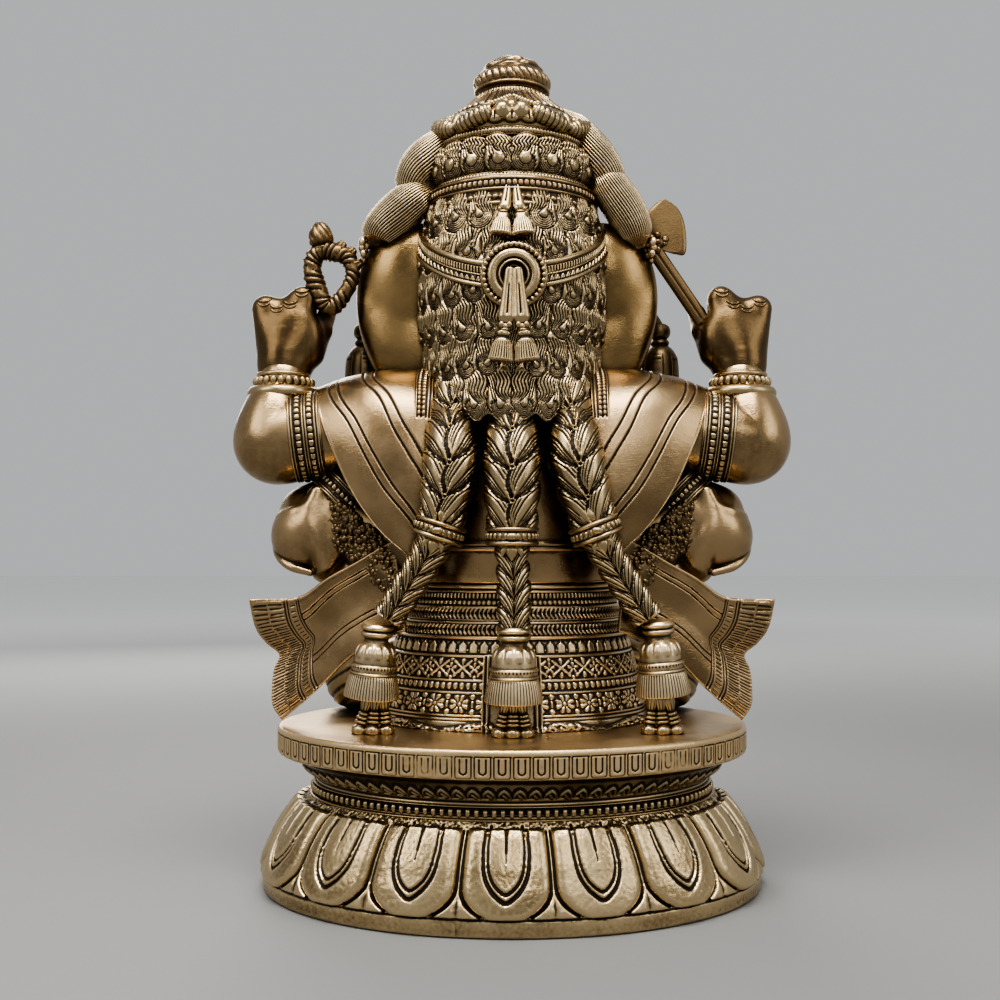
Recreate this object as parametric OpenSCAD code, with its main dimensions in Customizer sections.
// Seated four-armed elephant-headed idol in brass, built as the foundry builds it:
// hollow sections and ornaments cast one by one, then brazed together on a lotus pedestal.
// Frame: millimetres, +Z up, the figure faces -Y, its own left is +X,
// origin on the ground under the middle of the pedestal.

/* [Pedestal] */
// Half width of the lotus bowl
base_r = 136.5; // [133:0.5:140]
// Depth of the pedestal as a share of its width
depth_ratio = 0.76; // [0.75:0.01:0.78]
// Height of the lotus bowl
bowl_h = 52; // [50:0.5:54]
// Radius of a pearl in the string round the neck
pearl_r = 2.5; // [2:0.1:3]
// Half width of the plinth plate
plate_r = 128.5; // [126:0.5:130]
// Height of the plinth plate's underside
plate_low = 73; // [72:0.5:74]
// Height of the plinth plate's top, where the figure sits
plate_top = 88; // [87:0.5:89]
// Wall thickness of the hollow castings
wall = 4; // [3:0.5:5]

/* [Body] */
// Half width of the wrapped hips where they meet the plate
hip_r = 75; // [73:0.5:77]
// Height of the top of the wrapped hips
wrap_top = 160; // [158:0.5:162]
// Height of the belt above the hips
belt_h = 7; // [6:0.5:8]
// Half width of the chest
chest_r = 60; // [58:0.5:62]
// Height of the neck, where the head is brazed on
neck_z = 262; // [260:0.5:264]
// Distance of the body's axis in front of the pedestal's middle
body_y = -14; // [-16:0.5:-12]

/* [Head] */
// Half width of the head
head_r = 50; // [49:0.5:51]
// Height of the rim of the head, where the crown stands
head_top = 376; // [374:0.5:378]
// Distance of the head's axis in front of the pedestal's middle
head_y = -6; // [-7:0.5:-5]
// Height of the crown's tip
crown_tip = 457; // [452:1:462]

/* [Hidden] */

brass = [0.71, 0.56, 0.30];
polished = [0.80, 0.66, 0.40];
antique = [0.42, 0.31, 0.16];

bowl_neck_r = base_r - 26;
neck_r = bowl_neck_r - pearl_r + 0.3;
pearl_z = bowl_h + pearl_r;
pearl_top = bowl_h + 2 * pearl_r;
hip_ratio = 0.76;
wrap_r = hip_r - 18;
belt_top = wrap_top + belt_h;
chest_ratio = 0.8;
mantle_r = head_r + 1.3;
mantle_low = 252;
mantle_swing = 63;
ring_r = 2;
ring_z = head_top + ring_r;
tier_z = head_top + 2 * ring_r;
upper_ring_z = tier_z + 21;
upper_tier_z = upper_ring_z + ring_r;
crown_y = head_y + 2;
finial_z = upper_tier_z + 29;
filed = 2;
slice = 0.6;
blunt = 0.15;
overlap = 1;
round_fn = 96;
oval_fn = 360;

// Places on the left of the body, as [x, y, z] or [x, y, z, radius]; the right side mirrors them.
rear_arm_path = [[52, 4, 252, 20], [84, 6, 248, 22], [118, 8, 244, 22.5], [129, 8, 243, 22.5],
                 [128, 7, 256, 18], [126, 4, 270, 14.5], [125, 3, 278, 13.5]];
front_arm_path = [[62, -6, 236, 17], [84, -2, 218, 17.5], [106, 4, 198, 19], [111, 2, 191, 20],
                  [106, -16, 186, 16.5], [97, -36, 186, 12.5], [92, -46, 187, 11]];
right_arm_path = [[62, -6, 236, 17], [84, -2, 218, 17.5], [106, 4, 198, 19], [111, 2, 191, 20],
                  [108, -16, 193, 16.5], [103, -34, 204, 12.5], [101, -43, 211, 11]];
leg_path = [[30, -22, 112, 24], [58, -34, 110, 25], [84, -42, 108, 21], [92, -50, 106, 18], [80, -64, 104, 16],
            [54, -76, 101, 13], [30, -82, 99, 10.5], [12, -84, 97.5, 9]];
trunk_path = [[0, -46, 326, 21], [0, -60, 306, 20], [0, -70, 282, 18], [0, -76, 257, 16], [5, -79, 234, 14.5],
              [17, -83, 215, 12.5], [32, -87, 206, 10.5], [47, -89, 206, 9], [55, -88, 212, 8]];
left_braid_path = [[32, 47, 253, 13.5], [31.5, 49, 226, 13.5], [36, 49.5, 200, 11.5], [42, 49, 183, 9],
                   [53, 46, 165, 8.5], [64, 43, 148, 8]];
centre_braid_path = [[0, 50, 253, 14.5], [0, 52, 226, 14.5], [0, 53, 198, 12.5], [0, 53, 183, 8.5],
                     [-1, 53, 163, 8], [-1, 53, 141, 7.5]];
right_braid_path = [[-31, 47, 253, 13.5], [-34, 49, 226, 13.5], [-41, 49.5, 200, 11.5], [-48, 49, 183, 9],
                    [-59, 46, 165, 8.5], [-70, 43, 148, 8]];
tie_tilt = [14, 0, -17];
tie_place = [[37, 49.5, 193], [0, 53, 190], [-42, 49.5, 193]];
tassel_place = [[69, 43, 144], [-1, 53, 139.5], [-75, 43, 144]];
tassel_foot = [[72, 48, plate_top], [-1, 58, plate_top], [-77, 48, plate_top]];
ear_reach = [86, 80];
noose_centre = [98, 2, 337];
axe_foot = [-105, 0, 304];
axe_head = [-77, 0, 354];

// A point on the smooth curve through p1 and p2
function curve_point(p0, p1, p2, p3, t) =
    0.5 * (2 * p1 + (p2 - p0) * t + (2 * p0 - 5 * p1 + 4 * p2 - p3) * t * t
        + (3 * p1 - p0 - 3 * p2 + p3) * t * t * t);

// The smooth curve through a list of points, each span cut into that many steps
function smooth(path, steps) = let (last = len(path) - 1) [
    for (i = [0:last - 1]) for (k = [0:steps - 1])
        curve_point(path[max(i - 1, 0)], path[i], path[i + 1], path[min(i + 2, last)], k / steps),
    path[last]
];

// A place along a list of points, from 0 at its start to 1 at its end
function along(path, t) =
    let (at = min(t, 0.9999) * (len(path) - 1), i = floor(at), last = len(path) - 1)
    curve_point(path[max(i - 1, 0)], path[i], path[i + 1], path[min(i + 2, last)], at - i);

function xyz(p) = [p[0], p[1], p[2]];

// A limb or rope of changing thickness along a smooth path of [x, y, z, radius]
module limb(path, steps = 2, sides = 14) {
    points = smooth(path, steps);
    for (i = [0:len(points) - 2])
        hull() {
            translate(xyz(points[i])) sphere(points[i][3], $fn = sides);
            translate(xyz(points[i + 1])) sphere(points[i + 1][3], $fn = sides);
        }
}

// An egg-shaped solid, lofted in slices
module egg(centre, radii, slices = 10, sides = 28) {
    translate(centre)
        for (i = [0:slices - 1])
            hull()
                for (a = [-90 + 180 * i / slices, -90 + 180 * (i + 1) / slices])
                    translate([0, 0, radii[2] * sin(a) - slice / 2])
                        linear_extrude(slice)
                            scale([radii[0] * max(cos(a), blunt), radii[1] * max(cos(a), blunt)])
                                circle(1, $fn = sides);
}

// A closed plate between a grid of points and the same grid moved by an offset at each point
module plate_between(front, back) {
    rows = len(front);
    cols = len(front[0]);
    size = rows * cols;
    points = [for (r = front) for (p = r) p, for (r = back) for (p = r) p];
    function at(i, j) = i * cols + j;
    polyhedron(points, [
        for (i = [0:rows - 2]) for (j = [0:cols - 2]) for (f = [
            [at(i, j), at(i, j + 1), at(i + 1, j + 1)], [at(i, j), at(i + 1, j + 1), at(i + 1, j)],
            [size + at(i, j), size + at(i + 1, j + 1), size + at(i, j + 1)],
            [size + at(i, j), size + at(i + 1, j), size + at(i + 1, j + 1)]]) f,
        for (i = [0:rows - 2]) for (f = [
            [at(i, 0), at(i + 1, 0), size + at(i + 1, 0)], [at(i, 0), size + at(i + 1, 0), size + at(i, 0)],
            [at(i, cols - 1), size + at(i + 1, cols - 1), at(i + 1, cols - 1)],
            [at(i, cols - 1), size + at(i, cols - 1), size + at(i + 1, cols - 1)]]) f,
        for (j = [0:cols - 2]) for (f = [
            [at(0, j), size + at(0, j + 1), at(0, j + 1)], [at(0, j), size + at(0, j), size + at(0, j + 1)],
            [at(rows - 1, j), at(rows - 1, j + 1), size + at(rows - 1, j + 1)],
            [at(rows - 1, j), size + at(rows - 1, j + 1), size + at(rows - 1, j)]]) f
    ]);
}

// A ring or shell of revolution with an oval plan
module oval(profile, ratio, y = 0, sides = oval_fn)
    translate([0, y, 0]) scale([1, ratio, 1]) rotate_extrude($fn = sides) polygon(profile);

module both_sides() {
    children();
    mirror([1, 0, 0]) children();
}

// ---- Pedestal ----

// The foot rim is cast a little long and filed flat, so that the idol stands on a true plane
module lotus_base() color(polished)
    difference() {
        oval([[base_r - 8, -filed], [base_r - 4, -filed], [base_r, 2], [base_r, 9], [base_r - 0.5, 19],
              [base_r - 3, 30], [base_r - 8, 39], [base_r - 15, 46], [bowl_neck_r, bowl_h],
              [bowl_neck_r - 6.5, bowl_h], [base_r - 20, 44], [base_r - 13, 37], [base_r - 8, 28],
              [base_r - 5.5, 18], [base_r - 6, 8]], depth_ratio);
        translate([-200, -200, -20]) cube([400, 400, 20]);
    }

module pearl_ring() color(polished)
    oval([[neck_r - wall, bowl_h], [neck_r + pearl_r, bowl_h], [neck_r + 2 * pearl_r, pearl_z],
          [neck_r + pearl_r, pearl_top], [neck_r - wall, pearl_top]], depth_ratio);

module leaf_band() color(antique)
    oval([[neck_r, pearl_top], [neck_r, pearl_top + 2.5], [neck_r + 4, plate_low - 9], [neck_r + 10, plate_low - 6],
          [plate_r - 4, plate_low - 1.5], [plate_r - 3, plate_low], [plate_r - 8, plate_low],
          [neck_r + 6, plate_low - 4], [neck_r - 1, plate_low - 7], [neck_r - wall, plate_low - 10],
          [neck_r - wall, pearl_top]], depth_ratio);

module plinth_plate() color(polished)
    oval([[0, plate_top - 5], [plate_r - wall, plate_top - 5], [plate_r - wall, plate_low + 3],
          [plate_r - 8, plate_low], [plate_r - 2, plate_low], [plate_r, plate_low + 2],
          [plate_r, plate_top - 1.5], [plate_r - 1.5, plate_top], [0, plate_top]], depth_ratio);

// ---- Body ----

function wrap_outline(grow = 0) = [[hip_r + grow, plate_top], [hip_r + grow - 1, plate_top + 10],
    [hip_r + grow - 8, plate_top + 40], [wrap_r + grow + 3, wrap_top - 10], [wrap_r + grow, wrap_top]];

function torso_outline() = [[wrap_r - 1, belt_top], [chest_r, belt_top + 20], [chest_r + 1, 212],
    [chest_r - 5, 236], [chest_r - 17, 252], [head_r - 18, neck_z]];

module waist_wrap() color(antique)
    oval(concat(wrap_outline(), [[wrap_r - wall, wrap_top], [wrap_r + 3 - wall, wrap_top - 10],
        [hip_r - 8 - wall, plate_top + 40], [hip_r - 1 - wall, plate_top + 10], [hip_r - wall, plate_top]]),
        hip_ratio, body_y);

module waist_belt() color(brass)
    oval([[wrap_r - wall, wrap_top], [wrap_r + 1, wrap_top], [wrap_r + 2.5, wrap_top + belt_h / 2],
          [wrap_r + 1, belt_top], [wrap_r - wall, belt_top]], hip_ratio, body_y);

module torso() color(brass)
    oval(concat(torso_outline(), [[head_r - 18 - wall, neck_z], [chest_r - 17 - wall, 250],
        [chest_r - 5 - wall, 234], [chest_r + 1 - wall, 212], [chest_r - wall, belt_top + 20],
        [wrap_r - 1 - wall, belt_top]]), chest_ratio, body_y);

// The body's outer form as one solid, which the limbs are cut back from
module body_solid() {
    oval(concat([[0, plate_top]], wrap_outline(), [[wrap_r + 2.5, wrap_top + belt_h / 2]],
        [[wrap_r - 1, belt_top]], [[0, belt_top]]), hip_ratio, body_y, 60);
    oval(concat([[0, belt_top - overlap], [wrap_r - 2, belt_top - overlap]], torso_outline(), [[0, neck_z]]),
        chest_ratio, body_y, 60);
}

belly_centre = [0, -36, 176];
belly_size = [57, 44, 50];

module belly_solid() egg(belly_centre, belly_size);

module belly_front() color(polished)
    difference() {
        belly_solid();
        egg(belly_centre, belly_size - wall * [1, 1, 1]);
        body_solid();
    }

module left_leg() color(brass)
    difference() {
        limb(leg_path, 2, 16);
        body_solid();
        belly_solid();
        translate([-200, -200, plate_top - 50]) cube([400, 400, 50]);
        translate([-50, -120, plate_top]) cube([60, 100, 40]);
    }

module right_leg() mirror([1, 0, 0]) left_leg();

module dhoti_pleats() color(antique)
    translate([0, 0, plate_top])
        linear_extrude(6)
            polygon([for (a = [-40:5:40]) [24 * sin(a), -66 - 30 * cos(a)], for (a = [40:-20:-40]) [9 * sin(a), -74]]);

module anklets() color(antique)
    both_sides()
        translate([35, -80.5, 99.5]) rotate([0, 78, -15])
            rotate_extrude($fn = 48) translate([12.6, 0]) circle(1.4);

// ---- Arms ----

module rear_arm() color(polished)
    difference() {
        limb(rear_arm_path, 2, 16);
        body_solid();
        translate([80, -60, 277]) cube([120, 120, 40]);
    }

module left_rear_arm() rear_arm();
module right_rear_arm() mirror([1, 0, 0]) rear_arm();

module rear_hand() color(polished)
    hull() {
        translate([125.5, 3, 277]) cylinder(r = 12.6, h = 2, $fn = 24);
        for (x = [115, 136]) translate([x, 0, 322]) rotate([90, 0, 0]) cylinder(r = 6, h = 22, center = true, $fn = 16);
        for (x = [116, 136]) translate([x, 4, 300]) sphere(8, $fn = 14);
    }

module left_rear_hand() rear_hand();
module right_rear_hand() mirror([1, 0, 0]) rear_hand();

module front_arm(path) color(brass)
    difference() {
        limb(path, 2, 16);
        body_solid();
        belly_solid();
        limb(rear_arm_path, 1, 12);
        translate(xyz(path[6])) arm_end(path) translate([-30, -30, 0]) cube([60, 60, 40]);
    }

// Turns +Z to the direction in which a forearm runs out to its hand
module arm_end(path) {
    d = xyz(path[6]) - xyz(path[5]);
    rotate([0, acos(d[2] / norm(d)), atan2(d[1], d[0])]) children();
}

module left_front_arm() front_arm(front_arm_path);
module right_front_arm() mirror([1, 0, 0]) front_arm(right_arm_path);

module left_front_hand() color(brass)
    hull() {
        translate(xyz(front_arm_path[6])) arm_end(front_arm_path) cylinder(r = 10.5, h = 1, $fn = 20);
        translate([80, -66, 188]) sphere(9, $fn = 14);
        translate([70, -76, 189]) sphere(8, $fn = 14);
        translate([56, -84, 190]) sphere(5, $fn = 12);
        translate([74, -86, 190]) sphere(5, $fn = 12);
    }

module right_front_hand() color(brass) mirror([1, 0, 0])
    hull() {
        translate(xyz(right_arm_path[6])) arm_end(right_arm_path) cylinder(r = 10.5, h = 1, $fn = 20);
        translate([99, -57, 230]) sphere(9, $fn = 14);
        for (x = [90, 108]) translate([x, -62, 246]) sphere(6.5, $fn = 14);
        for (x = [91, 107]) translate([x, -66, 268]) sphere(4.5, $fn = 12);
    }

module rear_armlets() color(antique)
    both_sides()
        translate([114, 8, 244.5]) rotate([0, 97, 4])
            rotate_extrude($fn = 64) translate([22.6, -8]) square([2.2, 16]);

module front_armlets() color(antique)
    both_sides()
        translate([87, -1, 215]) rotate([0, 132, 8])
            rotate_extrude($fn = 64) translate([18.2, -6]) square([2, 12]);

module rear_bracelets() color(brass)
    both_sides()
        translate([125.5, 3.5, 275]) rotate_extrude($fn = 64) translate([15.2, 0]) circle(2.6);

module front_bracelets() color(brass) {
    translate([95, -40, 186.6]) arm_end(front_arm_path)
        rotate_extrude($fn = 48) translate([14, 0]) circle(2);
    mirror([1, 0, 0]) translate([102.2, -38, 207.5]) arm_end(right_arm_path)
        rotate_extrude($fn = 48) translate([14, 0]) circle(2);
}

// ---- Cloth ----

shawl_inner = [[38, -20, 266], [41, 4, 281], [43, 24, 273], [43, 37, 245], [46, 41, 210], [53, 39, 180]];
shawl_outer = [[104, -22, 250], [108, 2, 271], [105, 22, 264], [98, 32, 238], [86, 36, 213], [57, 38, 179]];
shawl_thick = 2.4;

function shawl_point(u, v, lift) =
    let (a = along(shawl_inner, v), b = along(shawl_outer, v), swell = 4 * 5 * u * (1 - u) + lift)
    a + (b - a) * u + swell * [0, sin(20 + 90 * v), cos(20 + 90 * v)] * (v < 0.2 ? 0.5 + 2.5 * v : 1);

function shawl_grid(lift) = [for (i = [0:10]) [for (j = [0:16]) shawl_point(i / 10, j / 16, lift)]];

module shawl() color(polished)
    plate_between(shawl_grid(0), shawl_grid(-shawl_thick));

module left_shawl() shawl();
module right_shawl() mirror([1, 0, 0]) shawl();

sash_upper = [[60, 27, 187], [80, 26, 172], [104, 22, 161], [124, 20, 158], [143, 20, 156]];
sash_lower = [[57, 30, 175], [66, 33, 150], [79, 36, 126], [96, 38, 106], [114, 41, 88.4]];
sash_thick = 2.6;

function sash_point(u, v, lift) =
    let (a = along(sash_upper, u), b = along(sash_lower, u), notch = -9 * u * u * exp(-pow((v - 0.5) / 0.16, 2)))
    a + (b - a) * v + [notch, 4 * sin(360 * v) * u + lift, 0];

function sash_grid(lift) = [for (i = [0:10]) [for (j = [0:16]) sash_point(i / 10, j / 16, lift)]];

module sash() color(brass)
    plate_between(sash_grid(sash_thick), sash_grid(0));

module left_sash() sash();
module right_sash() mirror([1, 0, 0]) sash();

module necklace() color(antique)
    translate([0, -22, 252]) rotate([18, 0, 0])
        scale([1, 0.86, 1]) rotate_extrude($fn = 64) translate([46, 0]) circle(3.2);

module sacred_thread() color(antique)
    difference() {
        limb([for (a = [-60:15:60]) [52 * sin(a) * 0.9 + 6, -36 - 45 * cos(a * 0.9) * 0.98, 196 - a * 0.5, 1.8]], 1, 10);
        body_solid();
    }

// ---- Head ----

function head_outline() = [[head_r - 18, neck_z], [head_r - 5, 280], [head_r, 305], [head_r, 342],
    [head_r - 3, 362], [head_r - 7, head_top]];

function head_inside() = [[0, neck_z - 1], [head_r - 18 - wall, neck_z - 1], [head_r - 5 - wall, 282],
    [head_r - wall, 305], [head_r - wall, 342], [head_r - 3 - wall, 361], [head_r - 7 - wall, head_top + 1],
    [0, head_top + 1]];

// The head's outer form: a dome, with the two temples and the two cheeks of the face in front
module head_solid() {
    translate([0, head_y, 0]) rotate_extrude($fn = round_fn)
        polygon(concat([[0, neck_z]], head_outline(), [[0, head_top]]));
    both_sides() {
        translate([19, -40, 348]) sphere(21, $fn = 48);
        translate([24, -38, 303]) sphere(19, $fn = 48);
    }
}

module head() color(polished)
    difference() {
        head_solid();
        translate([0, head_y, 0]) rotate_extrude($fn = round_fn) polygon(head_inside());
    }

module trunk() color(polished)
    difference() {
        limb(trunk_path, 2, 16);
        head_solid();
        belly_solid();
        body_solid();
        left_tusk_solid();
        mirror([1, 0, 0]) left_tusk_solid();
    }

module left_tusk_solid()
    translate([16, -58, 290]) rotate([118, 0, 28]) cylinder(r1 = 5.2, r2 = 3.2, h = 26, $fn = 32);

module left_tusk() color(polished)
    left_tusk_solid();

// The right tusk is broken short, by tradition
module right_tusk() color(polished)
    mirror([1, 0, 0]) translate([16, -58, 290]) rotate([118, 0, 28]) cylinder(r1 = 5.2, r2 = 4.1, h = 17, $fn = 32);

module ear_form(reach)
    translate([0, 0, 310]) rotate([0, -8, 0]) egg([reach - 26, -6, 0], [26, 13, 48], 10, 24);

module ear(reach) color(polished)
    difference() {
        ear_form(reach);
        translate([head_r - 101, -100, 200]) cube([100, 200, 200]);
    }

module left_ear() ear(ear_reach[0]);
module right_ear() mirror([1, 0, 0]) ear(ear_reach[1]);

module ear_pendant() color(antique)
    translate([80, -22, 270])
        rotate_extrude($fn = 48)
            polygon([[0, 0], [12, 0], [12.6, 2], [12.4, 12], [11.5, 20], [9, 25], [6.5, 26.5], [6.2, 29], [7, 31],
                     [6.6, 34], [4.5, 36.6], [0, 37.4]]);

module left_ear_pendant() ear_pendant();
module right_ear_pendant() mirror([1, 0, 0]) ear_pendant();

module hair_tuft() color(antique)
    difference() {
        union() {
            limb([[34, 4, 404, 9], [45, 4, 398, 12], [53, 4, 390, 12]], 2, 14);
            limb([[46, 2, 378, 12], [58, 2, 372, 13.5], [68, 1, 366, 12], [73, 0, 360, 8]], 2, 14);
        }
        head_solid();
        translate([0, crown_y, head_top - overlap]) cylinder(r = head_r - 3.5, h = 25, $fn = 48);
        translate([0, crown_y, upper_ring_z - ring_r]) cylinder(r1 = head_r - 4, r2 = 30, h = 16, $fn = 48);
        ear_form(ear_reach[0]);
    }

module left_hair_tuft() hair_tuft();
module right_hair_tuft() mirror([1, 0, 0]) hair_tuft();

// ---- Crown ----

module crown_lower_ring() color(brass)
    translate([0, crown_y, ring_z]) rotate_extrude($fn = round_fn) translate([head_r - 6, 0]) circle(ring_r);

module crown_lower_tier() color(brass)
    translate([0, crown_y, 0]) rotate_extrude($fn = round_fn)
        polygon([[head_r - 14, tier_z], [head_r - 8, tier_z], [head_r - 4.5, tier_z + 4], [head_r - 4, tier_z + 10],
                 [head_r - 7, tier_z + 16], [head_r - 10, upper_ring_z - ring_r], [head_r - 14, upper_ring_z - ring_r]]);

module crown_upper_ring() color(brass)
    translate([0, crown_y, upper_ring_z]) rotate_extrude($fn = round_fn) translate([head_r - 10, 0]) circle(ring_r);

module crown_upper_tier() color(brass)
    translate([0, crown_y, 0]) rotate_extrude($fn = round_fn)
        polygon([[head_r - 16, upper_tier_z], [head_r - 9, upper_tier_z], [head_r - 8.5, upper_tier_z + 5],
                 [head_r - 13, upper_tier_z + 12], [head_r - 22, upper_tier_z + 20], [head_r - 30, finial_z],
                 [0, finial_z], [0, finial_z - 4], [head_r - 34, finial_z - 4], [head_r - 26, upper_tier_z + 17],
                 [head_r - 18, upper_tier_z + 9]]);

module crown_finial() color(polished)
    translate([0, crown_y, 0]) rotate_extrude($fn = round_fn)
        polygon([[0, finial_z], [19.5, finial_z], [20.2, finial_z + 2], [18.5, finial_z + 4.5],
                 [20, finial_z + 7], [19, finial_z + 12], [15, finial_z + 17], [10, finial_z + 20.5],
                 [5, crown_tip - 3], [2, crown_tip - 1], [0, crown_tip]]);

module crown_crest() color(brass)
    translate([0, crown_y - head_r + 1.8, 0])
        rotate([90, 0, 0]) linear_extrude(4)
            polygon([[-26, tier_z], [26, tier_z], [24, tier_z + 12], [17, tier_z + 24], [8, tier_z + 36],
                     [0, tier_z + 44], [-8, tier_z + 36], [-17, tier_z + 24], [-24, tier_z + 12]]);

// ---- Hair ----

module hair_mantle() color(antique)
    translate([0, head_y, 0]) rotate([0, 0, 90 - mantle_swing])
        rotate_extrude(angle = 2 * mantle_swing, $fn = round_fn)
            polygon([[mantle_r, mantle_low + 2], [mantle_r + 4, mantle_low], [mantle_r + 5.5, mantle_low + 6],
                     [mantle_r + 5.5, 300], [mantle_r + 5, 345], [mantle_r + 1, 362], [head_r - 2, 375],
                     [head_r - 6.5, 375.5], [head_r - 1.6, 362.5], [mantle_r, 342]]);

band_r = mantle_r + 5.6;
band_mid = 324;
band_rise = 26;

function band_z(a) = band_mid + band_rise * (1 - cos(a)) / (1 - cos(mantle_swing));

module hair_band() color(brass)
    translate([0, head_y, 0])
        for (a = [-60:10:50])
            hull()
                for (b = [a, a + 10])
                    rotate([0, 0, -b]) translate([0, band_r + 1, band_z(b)]) cube([0.4, 2, 11], center = true);

module hair_brooch() color(polished)
    translate([0, head_y + band_r + 2, band_mid - 1]) rotate([-90, 0, 0]) {
        difference() {
            cylinder(r = 15, h = 4, $fn = 64);
            translate([0, 0, -1]) cylinder(r = 6, h = 6, $fn = 48);
        }
        translate([-7, 2, 0]) cube([14, 24, 5]);
        translate([-12, 26, 0]) cube([24, 16, 4]);
    }

module crown_tassels() color(polished)
    translate([0, head_y + head_r - 4, 374]) rotate([-17, 0, 0])
        for (x = [-5.5, 5.5])
            translate([x, 3.5, 0]) {
                translate([0, 0, -20]) cylinder(r1 = 4, r2 = 1.6, h = 20, $fn = 32);
                translate([0, 0, -30]) cylinder(r1 = 5.4, r2 = 4, h = 10, $fn = 32);
            }

module tie_solid(i)
    translate(tie_place[i]) rotate([0, tie_tilt[i], 0]) translate([0, 0, -5])
        cylinder(r = 14, h = 10, $fn = 48);

module tassel_top(i)
    translate(tassel_place[i]) translate([-30, -30, -40]) cube([60, 60, 40]);

module braid(path, i) color(antique)
    difference() {
        limb(path, 3, 12);
        tie_solid(i);
        tassel_top(i);
        translate([-100, 0, mantle_low]) cube([200, 100, 30]);
        body_solid();
    }

module left_braid() braid(left_braid_path, 0);
module centre_braid() braid(centre_braid_path, 1);
module right_braid() braid(right_braid_path, 2);

module braid_ties() color(polished)
    for (i = [0:2]) tie_solid(i);

bell_outline = [[0, 0], [8, 0], [8.5, -3], [7, -6], [10, -10], [12, -17], [13.5, -24], [13.8, -29], [0, -29]];

module braid_tassels() color(brass)
    for (i = [0:2])
        translate(tassel_place[i]) rotate_extrude($fn = 48) polygon(bell_outline);

// The three small tasselled ends that stand on the plate under each bell
module tassel_feet() color(antique)
    for (i = [0:2])
        let (top = tassel_place[i][2] - 29)
            for (k = [-1:1])
                translate([tassel_foot[i][0] + 7.5 * k, tassel_foot[i][1] - 3, plate_top])
                    cylinder(r1 = 4, r2 = 3, h = top - plate_top, $fn = 24);

// ---- What the hands hold ----

module noose() color(brass)
    translate(noose_centre) {
        rotate([90, 0, 0]) scale([1, 1.3, 1]) rotate_extrude($fn = 64) translate([9.2, 0]) circle(3.2);
        translate([5, 0, 20]) sphere(6, $fn = 32);
    }

module axe_handle() color(brass) {
    d = axe_head - axe_foot;
    translate(axe_foot) rotate([0, acos(d[2] / norm(d)), atan2(d[1], d[0])]) cylinder(r = 3, h = norm(d), $fn = 32);
}

module axe_blade() color(antique)
    translate([0, 1.6, 0]) rotate([90, 0, 0]) linear_extrude(3.2)
        polygon([[-75, 358], [-79, 372], [-85, 378], [-91, 376], [-96, 366], [-97, 352], [-93, 348], [-87, 351],
                 [-80.5, 353.5]]);

module modak() color(polished)
    translate([66, -82, 193.5]) rotate_extrude($fn = 48)
        polygon([[0, 0], [6, 0], [9.5, 4], [9, 8], [5, 12], [1.5, 15], [0, 16]]);

lotus_base();
pearl_ring();
leaf_band();
plinth_plate();
waist_wrap();
waist_belt();
torso();
belly_front();
left_leg();
right_leg();
dhoti_pleats();
anklets();
left_rear_arm();
right_rear_arm();
left_rear_hand();
right_rear_hand();
left_front_arm();
right_front_arm();
left_front_hand();
right_front_hand();
rear_armlets();
front_armlets();
rear_bracelets();
front_bracelets();
left_shawl();
right_shawl();
left_sash();
right_sash();
necklace();
sacred_thread();
head();
trunk();
left_tusk();
right_tusk();
left_ear();
right_ear();
left_ear_pendant();
right_ear_pendant();
left_hair_tuft();
right_hair_tuft();
crown_lower_ring();
crown_lower_tier();
crown_upper_ring();
crown_upper_tier();
crown_finial();
crown_crest();
hair_mantle();
hair_band();
hair_brooch();
crown_tassels();
left_braid();
centre_braid();
right_braid();
braid_ties();
braid_tassels();
tassel_feet();
noose();
axe_handle();
axe_blade();
modak();
